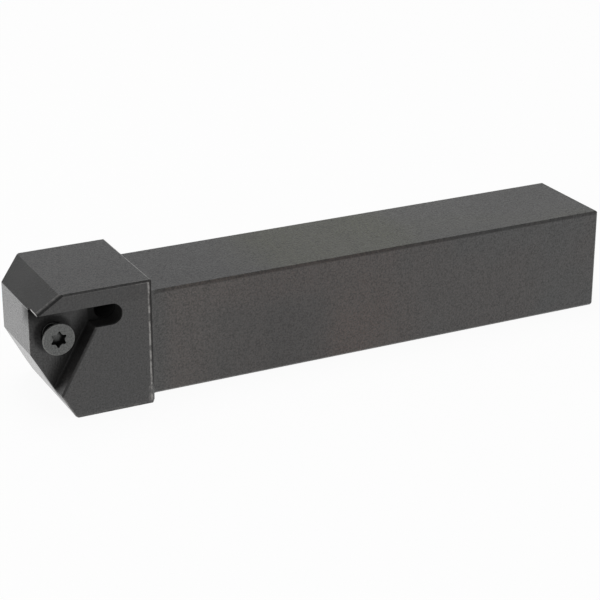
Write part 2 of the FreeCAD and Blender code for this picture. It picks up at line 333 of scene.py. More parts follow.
@dataclass(frozen=True)
class PaintedPocketShade:
    """Painted shade in the inner corners of the insert pocket, where shadow and dark reflections fall.

    Places and distances are in metres. An ease over a distance gives how much painted shade lies there.

    Attributes:
        lip: the plane of the lip's underside.
        floor: the pocket floor's plane.
        wall: the slanted wall's plane.
        front: the head's front plane, which the painted shade stays behind.
        hole: a place on the screw hole's axis.
        low: the lowest corner of the box that holds the painted shade.
        high: its highest corner.
        under_lip: its ease with the distance from the lip's inner corner.
        lip_ends: how it weakens from the lip's outer end to its inner end.
        wall_foot: its ease with the distance from the wall's foot.
        groove: its ease with the same distance, right in that corner.
        on_wall: its ease with the distance from the wall's plane.
        wall_heights: where it fades in on the wall, from its lower end up.
        slot_start: where it fades in along the relief slot.
        slot_heights: where it fades in above the pocket's part of the wall.
        slot: its ease with the distance from the pocket floor's plane, from the slot's ledge to its walls.
        slot_walls: 0 on that ledge and 1 on those walls.
        round_hole: its ease with the distance from the screw hole's axis.
        behind_front: where it fades in behind the head's front.
    """

    lip: Plane
    floor: Plane
    wall: Plane
    front: Plane
    hole: Triple
    low: Triple
    high: Triple
    under_lip: Ease = Ease(0.0003, 0.0038, 1.0, 0.0)
    lip_ends: Ease = Ease(-0.0550, -0.0455, 0.92, 0.05)
    wall_foot: Ease = Ease(0.0003, 0.0038, 0.72, 0.0)
    groove: Ease = Ease(0.0001, 0.0007, 0.85, 0.0)
    on_wall: Ease = Ease(0.00005, 0.0001, 0.58, 0.0)
    wall_heights: Ease = Ease(0.0055, 0.0085)
    slot_start: Ease = Ease(-0.0465, -0.0457)
    slot_heights: Ease = Ease(0.0150, 0.0156)
    slot: Ease = Ease(0.00005, 0.0002, 0.88, 0.74)
    slot_walls: Ease = Ease(0.00005, 0.0002)
    round_hole: Ease = Ease(0.0028, 0.0040, 0.65, 0.0)
    behind_front: Ease = Ease(0.00015, 0.0005)

    def kept_inside(self, place: Wire, mask: Wire) -> Wire:
        """Return a mask inside the painted shade's box and behind the head's front, and 0 elsewhere."""
        mask = mask * self.front.distance(place).eased(self.behind_front)
        for span in zip((ALONG, DEEP, UP), self.low, self.high):
            mask = mask * place.between(span)
        return mask

    def in_slot(self, place: Wire) -> Wire:
        """Return 1 in the relief slot, behind the head's front, and 0 elsewhere."""
        slot = place.along(ALONG).eased(self.slot_start) * place.along(UP).eased(self.slot_heights)
        return self.kept_inside(place, slot)

    def on_slot_walls(self, place: Wire) -> Wire:
        """Return 1 on the relief slot's walls and 0 elsewhere."""
        return self.in_slot(place) * self.floor.distance(place).eased(self.slot_walls)

    def mask(self, place: Wire) -> Wire:
        """Return how much painted shade lies at each place.

        The larger of the distances from two planes is the distance from the inner corner between them,
        for a place on either. Each corner's painted shade is eased to 0 away from it, and the strongest of
        them and of the painted shade on the wall, in the slot and round the hole is taken.
        """
        # Painted shade: darker under the lip, at the wall's foot, on the wall, in the slot and round the
        # hole.
        lip, floor, wall = (plane.distance(place) for plane in (self.lip, self.floor, self.wall))
        foot = wall.at_least(floor)
        mask = lip.at_least(floor).eased(self.under_lip) * place.along(ALONG).eased(self.lip_ends)
        mask = mask.at_least(foot.eased(self.wall_foot)).at_least(foot.eased(self.groove))
        mask = mask.at_least(wall.eased(self.on_wall) * place.along(UP).eased(self.wall_heights))
        mask = mask.at_least(self.in_slot(place) * floor.eased(self.slot))
        mask = mask.at_least(place.centred(self.hole).off_axis().eased(self.round_hole))
        return self.kept_inside(place, mask)


@dataclass(frozen=True)
class Surface:
    """What the layers of the black finish share.

    Attributes:
        place: the Object coordinates.
        across: the place along the holder.
        height: the place above the base.
        top: 1 where the surface faces up and 0 elsewhere.
    """

    place: Wire
    across: Wire
    height: Wire
    top: Wire
    clouds: Wire
    grain: Wire
    streaks: Wire


@dataclass(frozen=True)
class BlackOxide:
    """Milled steel with a black-oxide finish: dark, satin, cloudy, and thin at its edges.

    Places and heights are in metres. Brown tints the sides, green the top, and the stain the low part of
    the sides. Each is strongest at its centre and weakens over its reach. The pale colour is dust on the
    sides next to the head, a painted sheen on the top and painted light on the relief slot's walls.

    Attributes:
        base: the finish's colour where nothing tints it.
        steel: the colour of worn edges, and of the painted highlights drawn among them.
        highlight_colour: the colour of the near-white painted highlights along edges.
        shade_and_pore_colour: the colour of the painted shade along edges and in the pocket, and of the
            pores.
        top_facing: how steeply the normal stands where a face counts as top.
        darkest: the colour's factor in the dark of the grain, as lightest is in the light of it.
        worn_breaks: how strong the breaks leave the worn edges and the painted highlights among them.
        oil: how much oil the ground faces hold.
        gloss: how strongly the finish mirrors.
        shade_clouds: how strong the clouds leave the painted shade along edges.
    """

    name: str = "black_oxide_steel"
    base: Triple = (0.0150, 0.0150, 0.0149)
    brown: Triple = (0.0290, 0.0165, 0.0120)
    green: Triple = (0.0200, 0.0225, 0.0040)
    stain: Triple = grey(0.004)
    # Worn steel grey, also the colour of the painted highlights in the worn bands.
    steel: Triple = (0.30, 0.29, 0.28)
    # Near-white colour of the painted highlights.
    highlight_colour: Triple = (0.80, 0.79, 0.77)
    # Dark colour of the painted shade, and of the pores.
    shade_and_pore_colour: Triple = grey(0.012)
    # Pale colour: dust next to the head, painted sheen on the top, painted light on the slot walls.
    dust_and_painted_light: Triple = (0.15, 0.15, 0.14)
    clouds: Pattern = Pattern(42.0, 3.0, 0.55)
    patches: Pattern = Pattern(29.4, stretch=(0.6, 1.0, 1.3))
    grain: Pattern = Pattern(2900.0, 2.0, 0.6)
    streaks: Pattern = Pattern(1500.0, 2.0, 0.55, (1.0, 0.12, 0.12))
    breaks: Pattern = Pattern(1300.0, 3.0, 0.6)
    pores: Pattern = Pattern(3600.0, 1.0)
    top_facing: Ease = Ease(0.7, 0.95)
    brown_centre: float = -0.012
    brown_reach: Ease = Ease(0.018, 0.034, 0.6, 0.0)
    brown_clouds: Ease = Ease(0.42, 0.62, 0.0, 0.3)
    brown_start: Ease = Ease(-0.034, -0.030, 0.25, 1.0)
    green_centre: float = 0.003
    green_reach: Ease = Ease(0.010, 0.019, 0.5, 0.0)
    green_patches: Ease = Ease(0.45, 0.7, 0.0, 0.5)
    green_start: Ease = Ease(-0.02, -0.014)
    stain_centre: float = -0.013
    stain_reach: Ease = Ease(0.008, 0.016, 1.0, 0.0)
    stain_heights: Ease = Ease(0.011, 0.016, 1.0, 0.0)
    stain_clouds: Ease = Ease(0.3, 0.55, 0.4, 0.7)
    # Painted sheen: the top lightens towards the rear.
    top_sheen: Ease = Ease(-0.03, 0.01, 0.0, 0.10)
    # Painted light that lifts the shade on the relief slot's walls.
    slot_painted_light: float = 0.13
    front_dust: float = 0.105
    front_dust_start: Ease = Ease(-0.0365, -0.0355)
    front_dust_end: Ease = Ease(-0.03, -0.008, 1.0, 0.25)
    grain_shade: Ease = Ease(0.3, 0.7, 0.0, 0.85)
    streak_shade: Ease = Ease(0.3, 0.7, 0.0, 0.15)
    darkest: float = 0.45
    lightest: float = 2.5
    worn_breaks: Ease = Ease(0.38, 0.6, 0.3, 1.0)
    worn_metal: float = 0.8
    roughness: float = 0.42
    grain_roughness: float = 0.3
    cloud_roughness: float = 0.12
    worn_roughness: float = -0.08
    ground_roughness: float = 0.27
    oil: float = 0.55
    oil_roughness: float = 0.25
    gloss: float = 0.91
    grain_relief: float = 0.9
    streak_relief: float = 0.1
    bump_distance: float = 0.00013
    bump_strength: float = 1.0
    pore_shares: Ease = Ease(0.42, 0.7, 0.0, 0.26)
    shade_clouds: Ease = Ease(0.35, 0.6, 0.7, 1.0)

    def surface(self, bench: Bench) -> Surface:
        """Return the place and the patterns that the layers share."""
        place = bench.place()
        top = bench.facing().along(UP).eased(self.top_facing)
        patterns = (place.noise(pattern) for pattern in (self.clouds, self.grain, self.streaks))
        return Surface(place, place.along(ALONG), place.along(UP), top, *patterns)

    def tinted(self, on: Surface) -> Wire:
        """Return the finish's colour with its brown and green tints and its stain."""
        brown = abs(on.across - self.brown_centre).eased(self.brown_reach)
        brown = (brown + on.clouds.eased(self.brown_clouds)) * (1.0 - on.top)
        colour = (brown * on.across.eased(self.brown_start)).mix(self.base, self.brown)
        green = abs(on.across - self.green_centre).eased(self.green_reach)
        green = (green + on.place.noise(self.patches).eased(self.green_patches)) * on.top
        colour = (green * on.across.eased(self.green_start)).mix(colour, self.green)
        stain = abs(on.across - self.stain_centre).eased(self.stain_reach)
        stain = stain * on.height.eased(self.stain_heights) * on.clouds.eased(self.stain_clouds)
        return stain.mix(colour, self.stain)

    def dusted_and_lit(self, on: Surface, colour: Wire, pocket: PaintedPocketShade) -> Wire:
        """Return a colour with the pale colour over it: dust next to the head, painted sheen on the top and
        painted light on the walls of the pocket's slot.
        """
        near_head = on.across.eased(self.front_dust_start) * on.across.eased(self.front_dust_end)
        # The top's share is painted sheen, the slot walls' share painted light, and the share by the head
        # dust.
        shares = (on.top * on.across.eased(self.top_sheen),
                  pocket.on_slot_walls(on.place) * self.slot_painted_light,
                  near_head * (1.0 - on.top) * self.front_dust)
        for share in shares:
            colour = share.mix(colour, self.dust_and_painted_light)
        return colour

    def grained(self, on: Surface, colour: Wire) -> Wire:
        """Darken and lighten a colour with the grain and the streaks."""
        shade = on.grain.eased(self.grain_shade) + on.streaks.eased(self.streak_shade)
        return shade.mix(colour.stretched(grey(self.darkest)), colour.stretched(grey(self.lightest)))

    def build(self, edges: dict[Wear, list[EdgeBand]], pocket: PaintedPocketShade) -> bpy.types.Material:
        """Make the material, with the bands of each kind of wear, painted highlight and painted shade, and
        the painted shade in the pocket.
        """
        material, bench = Bench.for_material(self.name)
        on = self.surface(bench)
        # Bands of wear with painted highlights, of painted highlights, of painted shade, and of ground faces.
        wear_and_glint, painted_highlight, painted_shade, smooth = (EdgeBand.strongest(edges[wear], on.place) for wear in Wear)
        wear_and_glint = wear_and_glint * on.place.noise(self.breaks).eased(self.worn_breaks)
        colour = self.grained(on, self.dusted_and_lit(on, self.tinted(on), pocket))
        # Paints the highlights along edges, in worn-steel grey and near white.
        colour = painted_highlight.mix(wear_and_glint.mix(colour, self.steel), self.highlight_colour)
        rough = self.roughness + (on.grain - 0.5) * self.grain_roughness
        rough = rough + (on.clouds - 0.5) * self.cloud_roughness + wear_and_glint * self.worn_roughness
        rough = rough + smooth * (self.ground_roughness - self.roughness)
        relief = on.grain * self.grain_relief + on.streaks * self.streak_relief
        shader = bench.node("ShaderNodeBsdfPrincipled", inputs={
            "Base Color": colour, "Roughness": rough, "Metallic": wear_and_glint * self.worn_metal,
            "Normal": bench.bump(relief, self.bump_distance, self.bump_strength), "IOR": STEEL_IOR,
            "Coat Weight": smooth * self.oil, "Coat Roughness": self.oil_roughness,
            "Specular IOR Level": self.gloss}, output="BSDF")
        pores = on.place.noise(self.pores).eased(self.pore_shares) * (1.0 - smooth)
        # Painted shade along edges and in the pocket, and the pores, under a dark matt cover.
        shade_and_pores = (painted_shade * on.clouds.eased(self.shade_clouds)).at_least(pocket.mask(on.place)).at_least(pores)
        bench.finish(bench.covered(shade_and_pores * (1.0 - wear_and_glint.at_least(painted_highlight)), shader, self.shade_and_pore_colour))
        return material


@dataclass(frozen=True)
class ScrewSteel:
    """Dark hardened steel, turned, with a painted highlight round the head's edge, painted shade in the
    recess, and dirt with painted shade on the cone.

    Distances are in metres: radii from the screw's axis, and depths from its head's face.

    Attributes:
        dark: the steel's colour in the dark of its grain, as light is in the light of it.
        bright: the colour of the painted highlight round the head's edge.
        rings: the rings that the turning left.
        rim_reach: how the painted highlight weakens away from the head's edge.
        rim_breaks: how strong the grain leaves it.
        rim_slope: how much a depth counts beside a radius there.
        recess_depths: where the recess's painted shade fades in.
        recess_edge: where it ends.
        recess_shade: how much painted shade there is, from the recess's middle to its lobes.
        cone_depths: where the cone's dirt and painted shade fade in.
        cone_dirt_and_shade: how much there is, from the thread's radius outwards.
    """

    name: str = "turned_screw_steel"
    dark: Triple = (0.07775, 0.0794, 0.0772)
    light: Triple = (0.1525, 0.1552, 0.1516)
    # Colour of the painted highlight round the head's edge.
    bright: Triple = (0.30, 0.30, 0.29)
    # Colour of the painted shade in the recess and of the dirt and painted shade on the cone.
    dirt_and_shade: Triple = grey(0.010)
    grain: Pattern = Pattern(3400.0, 2.0, 0.6)
    rings: Pattern = Pattern(5200.0)
    grain_shade: Ease = Ease(0.3, 0.7)
    rim_reach: Ease = Ease(0.00006, 0.00022, 0.35, 0.0)
    rim_breaks: Ease = Ease(0.25, 0.6, 0.4, 1.0)
    rim_slope: float = 0.8
    recess_depths: Ease = Ease(0.00002, 0.0003)
    recess_edge: Ease = Ease(0.00152, 0.0016, 1.0, 0.0)
    recess_shade: Ease = Ease(0.0004, 0.0010, 0.15, 0.97)
    cone_depths: Ease = Ease(0.0003, 0.0007)
    cone_dirt_and_shade: Ease = Ease(0.0017, 0.0019, 0.0, 0.55)
    roughness: float = 0.36
    ring_roughness: float = 0.2
    grain_roughness: float = 0.3
    metal: float = 0.55
    ring_relief: float = 0.6
    grain_relief: float = 0.4
    bump_distance: float = 0.00002
    bump_strength: float = 0.4

    def build(self, axis: Triple, rim_radius: float) -> bpy.types.Material:
        """Make the material, from the middle of the head's face and the head's radius, in metres."""
        material, bench = Bench.for_material(self.name)
        centred = bench.place().centred(axis)
        radius, depth = centred.off_axis(), centred.along(DEEP)
        grain = centred.noise(self.grain)
        rings = bench.node("ShaderNodeCombineXYZ", inputs={"X": radius, "Y": depth}).noise(self.rings)
        # Painted highlight round the head's edge, broken by the grain.
        rim = abs(radius - rim_radius).at_least(depth * self.rim_slope).eased(self.rim_reach)
        # Painted shade in the recess, darkest in its lobes, and dirt with painted shade on the cone.
        recess = depth.eased(self.recess_depths) * radius.eased(self.recess_edge)
        dirt_and_shade_mask = (recess * radius.eased(self.recess_shade)).at_least(
            depth.eased(self.cone_depths) * radius.eased(self.cone_dirt_and_shade))
        colour = grain.eased(self.grain_shade).mix(self.dark, self.light)
        colour = (rim * grain.eased(self.rim_breaks)).mix(colour, self.bright)
        rough = self.roughness + (rings - 0.5) * self.ring_roughness + (grain - 0.5) * self.grain_roughness
        relief = rings * self.ring_relief + grain * self.grain_relief
        shader = bench.node("ShaderNodeBsdfPrincipled", inputs={
            "Base Color": colour, "Roughness": rough, "Metallic": self.metal,
            "Normal": bench.bump(relief, self.bump_distance, self.bump_strength), "IOR": STEEL_IOR},
            output="BSDF")
        bench.finish(bench.covered(dirt_and_shade_mask, shader, self.dirt_and_shade))
        return material


@dataclass(frozen=True)
class PaleFloor:
    """The studio's white floor. It takes the object's shadow, and camera and mirror rays see it glow.

    Attributes:
        glow_share: how much of what those rays see is the glow.
    """

    name: str = "studio_floor"
    paint: Triple = grey(0.9)
    glow: float = 1.0
    glow_share: float = 0.94

    def build(self) -> bpy.types.Material:
        """Make the material."""
        material, bench = Bench.for_material(self.name)
        share = bench.backdrop_ray() * self.glow_share
        matt = bench.node("ShaderNodeBsdfDiffuse", inputs={"Color": self.paint})
        light = bench.node("ShaderNodeEmission", inputs={"Color": grey(1.0), "Strength": self.glow})
        bench.finish(bench.node("ShaderNodeMixShader", inputs={0: share, 1: matt, 2: light}))
        return material


@dataclass(frozen=True)
class HolderSizes:
    """The holder's sizes that its finish follows, in millimetres, with angles in degrees."""

    length: float = 112.4
    shank: float = 19.05
    head_length: float = 20.65
    head_height: float = 22.4
    head_offset: float = 3.175
    bevel_run: float = 4.4
    bevel_angle: float = 32.4
    clearance_run: float = 6.41
    clearance_angle: float = 29.4
    pocket_depth: float = 3.52
    lip_height: float = 19.4
    lip_setback: float = 0.41
    lip_end_angle: float = 67.0
    wall_angle: float = 60.0
    seat_distance: float = 4.9
    screw_position: float = 4.11
    corner_break: float = 0.55
    corner_border: float = 0.1
    bevel_break: float = 0.5
    chamfer_depth: float = 0.25
    chamfer_drop: float = 0.5
    edge_break: float = 0.25

    def at(self, across: float, deep: float, up: float) -> Triple:
        """Turn a place measured from the end face, the shank's front and the base into the frame's metres."""
        middle = (self.shank - self.head_offset) / 2
        return ((across - self.length / 2) * MM, (deep - middle) * MM, up * MM)

    @property
    def floor(self) -> float:
        """Return how deep the pocket's floor lies behind the shank's front face."""
        return self.pocket_depth - self.head_offset

    @property
    def screw_height(self) -> float:
        """Return how high the screw's axis lies above the base."""
        return self.lip_height - self.seat_distance


@dataclass(frozen=True)
class BandPlan:
    """A band as the maker notes it, before its planes are worked out.

    Attributes:
        planes: the names of its planes, with spaces between them.
        width: its width, in millimetres.
        spans: the names of the stretches that it keeps to, with spaces between them.
        inner: the width that stays empty, in millimetres.
    """

    planes: str
    width: float
    strength: float
    spans: str = ""
    inner: float = 0.0


PLANS = {
    # The bands along the head's edges, chamfers, clearance and floor edges are painted highlights in
    # worn-steel grey, broken like wear; those round the shank's end, the base and the rear are wear.
    Wear.WORN_AND_HIGHLIGHT: (
        BandPlan("side_chamfer", 0.12, 1.0, "head"),
        BandPlan("corner_border head_front", 0.28, 0.9, "corner"),
        BandPlan("corner_border head_front", 0.80, 0.4, "corner_foot"),
        BandPlan("base head_front", 0.6, 0.3),
        BandPlan("top_chamfer", 0.16, 0.2, "head", inner=0.06),
        BandPlan("bevel bevel_chamfer", 0.17, 0.4, "bevel"),
        BandPlan("clearance head_front", 0.30, 0.5, "clearance_foot"),
        BandPlan("floor end", 0.16, 0.5, "floor_edge"),
        BandPlan("shank_end shank_top", 0.45, 0.2),
        BandPlan("shank_end shank_front", 0.45, 0.2),
        BandPlan("shank_end rear", 0.5, 0.2),
        BandPlan("base shank_end", 0.45, 0.2),
        BandPlan("base head_side", 0.3, 0.2),
        BandPlan("rear shank_top", 0.5, 0.15),
        BandPlan("rear head_top", 0.5, 0.2),
    ),
    # Painted highlights: near-white lines on the top chamfer's corner, the lip's end and the side chamfer.
    Wear.PAINTED_HIGHLIGHT: (
        BandPlan("top_chamfer", 0.16, 0.12, "top_corner", inner=0.06),
        BandPlan("lip_end", 0.09, 0.75, "lip_end lip_end_front"),
        BandPlan("side_chamfer", 0.06, 0.12, "head"),
    ),
    # Painted shade: dark lines on the chamfers, the bevel and the strip above the lip, and a dark band beside
    # the pocket wall.
    Wear.PAINTED_SHADE: (
        BandPlan("corner_chamfer", 0.08, 0.6, "head_length"),
        BandPlan("long_chamfer", 0.10, 0.3, "shank_length"),
        BandPlan("top_chamfer", 0.06, 0.5, "head"),
        BandPlan("bevel_chamfer", 0.06, 0.75, "bevel bevel_front"),
        BandPlan("bevel_chamfer", 0.06, 0.25, "bevel"),
        BandPlan("bevel", 0.06, 0.32, "bevel"),
        BandPlan("head_front", 0.06, 0.13, "above_lip"),
        BandPlan("wall head_front", 0.5, 0.5, "wall_edge"),
    ),
    Wear.GROUND: (
        BandPlan("end", 0.08, 1.0),
        BandPlan("clearance", 0.08, 1.0),
    ),
}


@dataclass
class HolderBody:
    """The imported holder, which keeps its shape and gets its black finish.

    Attributes:
        far: a distance past either end of the holder, in millimetres.
        step_gap: how far above the shank's top the head's bands start, in millimetres.
        shade_start: how far from the end face and the base the pocket's painted shade starts, in millimetres.
        shade_end: how far from the end face and the shank's front it ends, in millimetres.
        shade_over: how far it reaches above the lip's edge, in millimetres.
    """

    sizes: HolderSizes = field(default_factory=HolderSizes)
    finish: BlackOxide = field(default_factory=BlackOxide)
    far: float = 60.0
    step_gap: float = 0.2
    shade_start: tuple[float, float] = (0.02, 0.5)
    shade_end: tuple[float, float] = (15.4, 6.0)
    shade_over: float = 0.03

    @cached_property
    def planes(self) -> dict[str, Plane]:
        """Return the planes of the faces and chamfers by name, each through a point with its normal."""
        s = self.sizes
        bevel, clear, wall, facet = (math.radians(angle) for angle in (
            s.bevel_angle, s.clearance_angle, s.wall_angle, s.lip_end_angle))
        wall_across = s.screw_position + s.seat_distance * math.sin(wall)
        wall_up = s.screw_height - s.seat_distance * math.cos(wall)
        corner = s.head_length - s.corner_break
        faces = {
            "end": (s.at(0, 0, 0), (-1, 0, 0)),
            "bevel": (s.at(s.bevel_run, 0, s.head_height), (-math.sin(bevel), 0, math.cos(bevel))),
            "clearance": (s.at(s.clearance_run, 0, 0), (-math.cos(clear), 0, -math.sin(clear))),
            "head_front": (s.at(0, -s.head_offset, 0), (0, -1, 0)),
            "head_top": (s.at(0, 0, s.head_height), UP),
            "head_side": (s.at(s.head_length, 0, 0), ALONG),
            "floor": (s.at(0, s.floor, 0), (0, -1, 0)),
            "lip": (s.at(0, 0, s.lip_height), (0, 0, -1)),
            "wall": (s.at(wall_across, 0, wall_up), (-math.sin(wall), 0, math.cos(wall))),
            "lip_end": (s.at(s.lip_setback, 0, s.lip_height), (-math.sin(facet), 0, -math.cos(facet))),
            "shank_top": (s.at(0, 0, s.shank), UP),
            "shank_front": (s.at(0, 0, 0), (0, -1, 0)),
            "shank_end": (s.at(s.length, 0, 0), ALONG),
            "corner_chamfer": (s.at(corner, -s.head_offset, 0), (1, -1, 0)),
            "corner_border": (s.at(corner - s.corner_border, 0, 0), ALONG),
            "side_chamfer": (s.at(s.head_length - s.edge_break, 0, s.head_height), (1, 0, 1)),
            "top_chamfer": (s.at(0, s.edge_break - s.head_offset, s.head_height), (0, -1, 1)),
            "bevel_chamfer": (s.at(s.bevel_run, s.bevel_break - s.head_offset, s.head_height),
                              (-math.sin(bevel), -1, math.cos(bevel))),
            "long_chamfer": (s.at(0, 0, s.shank - s.chamfer_drop), (0, -s.chamfer_drop, s.chamfer_depth)),
            "rear": (s.at(0, s.shank, 0), DEEP),
            "base": ((0, 0, 0), (0, 0, -1)),
        }
        return {name: Plane.through(point, normal) for name, (point, normal) in faces.items()}

    @cached_property
    def spans(self) -> dict[str, Span]:
        """Return the stretches that the bands keep to by name, in millimetres of the frame."""
        s = self.sizes
        return {
            "head": (UP, s.shank + self.step_gap, self.far),
            "above_lip": (UP, s.lip_height, self.far),
            "bevel": (UP, s.lip_height, s.head_height),
            "corner": (UP, 0.0, 22.0),
            "corner_foot": (UP, 0.0, 3.2),
            "clearance_foot": (UP, 0.0, 8.0),
            "floor_edge": (UP, 8.0, 19.0),
            "wall_edge": (UP, 0.0, 15.4),
            "lip_end": (UP, 19.42, 19.86),
            "lip_end_front": (DEEP, -self.far, -8.3),
            "bevel_front": (DEEP, -self.far, -10.86),
            "top_corner": (ALONG, -38.5, -35.0),
            "head_length": (ALONG, -self.far, -35.4),
            "shank_length": (ALONG, -34.2, self.far),
        }

    def band(self, plan: BandPlan) -> EdgeBand:
        """Work out a band from its plan, in metres."""
        planes = tuple(self.planes[name] for name in plan.planes.split())
        spans = (self.spans[name] for name in plan.spans.split())
        spans = tuple((direction, low * MM, high * MM) for direction, low, high in spans)
        return EdgeBand(planes, plan.width * MM, plan.strength, spans, plan.inner * MM)

    def edges(self) -> dict[Wear, list[EdgeBand]]:
        """Return the bands of each kind of wear."""
        return {wear: [self.band(plan) for plan in plans] for wear, plans in PLANS.items()}

    def pocket(self) -> PaintedPocketShade:
        """Return the painted shade in the pocket, which ends at the lip above and at the slot's far end."""
        s, planes = self.sizes, self.planes
        start, base = self.shade_start
        return PaintedPocketShade(
            lip=planes["lip"], floor=planes["floor"], wall=planes["wall"], front=planes["head_front"],
            hole=s.at(s.screw_position, s.floor, s.screw_height),
            low=s.at(start, -s.head_offset, base),
            high=s.at(*self.shade_end, s.lip_height + self.shade_over))

    def dress(self, node: bpy.types.Object) -> None:
        """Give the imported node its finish."""
        material = self.finish.build(self.edges(), self.pocket())
        for slot in node.material_slots:
            slot.material = material


def linked(name: str, data: bpy.types.ID) -> bpy.types.Object:
    """Return a new object in the scene with this data."""
    made = bpy.data.objects.new(name, data)
    bpy.context.scene.collection.objects.link(made)
    return made


def surface_from_grid(name: str, places: np.ndarray) -> bpy.types.Object:
    """Turn a grid of places, rows by columns by 3 in metres, into a closed mesh.

    The grid's rows run along the surface and its columns run round it. The columns join up, and the
    first and the last row are each closed with a fan to their middle. The faces look outwards where
    the rows go towards +Y and the columns turn from +X to +Z.
    """
    rows, columns, _ = places.shape
    poles = np.stack([places[0].mean(axis=0), places[-1].mean(axis=0)])
    vertices = np.concatenate([places.reshape(-1, 3), poles])
    row, column = np.meshgrid(np.arange(rows - 1), np.arange(columns), indexing="ij")
    after = (column + 1) % columns
    quads = np.stack([row * columns + column, (row + 1) * columns + column,
                      (row + 1) * columns + after, row * columns + after], axis=-1).reshape(-1, 4)
    turn = np.arange(columns)
    following = (turn + 1) % columns
    last = (rows - 1) * columns
    start_fan = np.stack([turn, following, np.full(columns, rows * columns)], axis=-1)
    end_fan = np.stack([last + following, last + turn, np.full(columns, rows * columns + 1)], axis=-1)
    mesh = bpy.data.meshes.new(name)
    mesh.from_pydata(vertices.tolist(), [], quads.tolist() + start_fan.tolist() + end_fan.tolist())
    mesh.update()
    return linked(name, mesh)


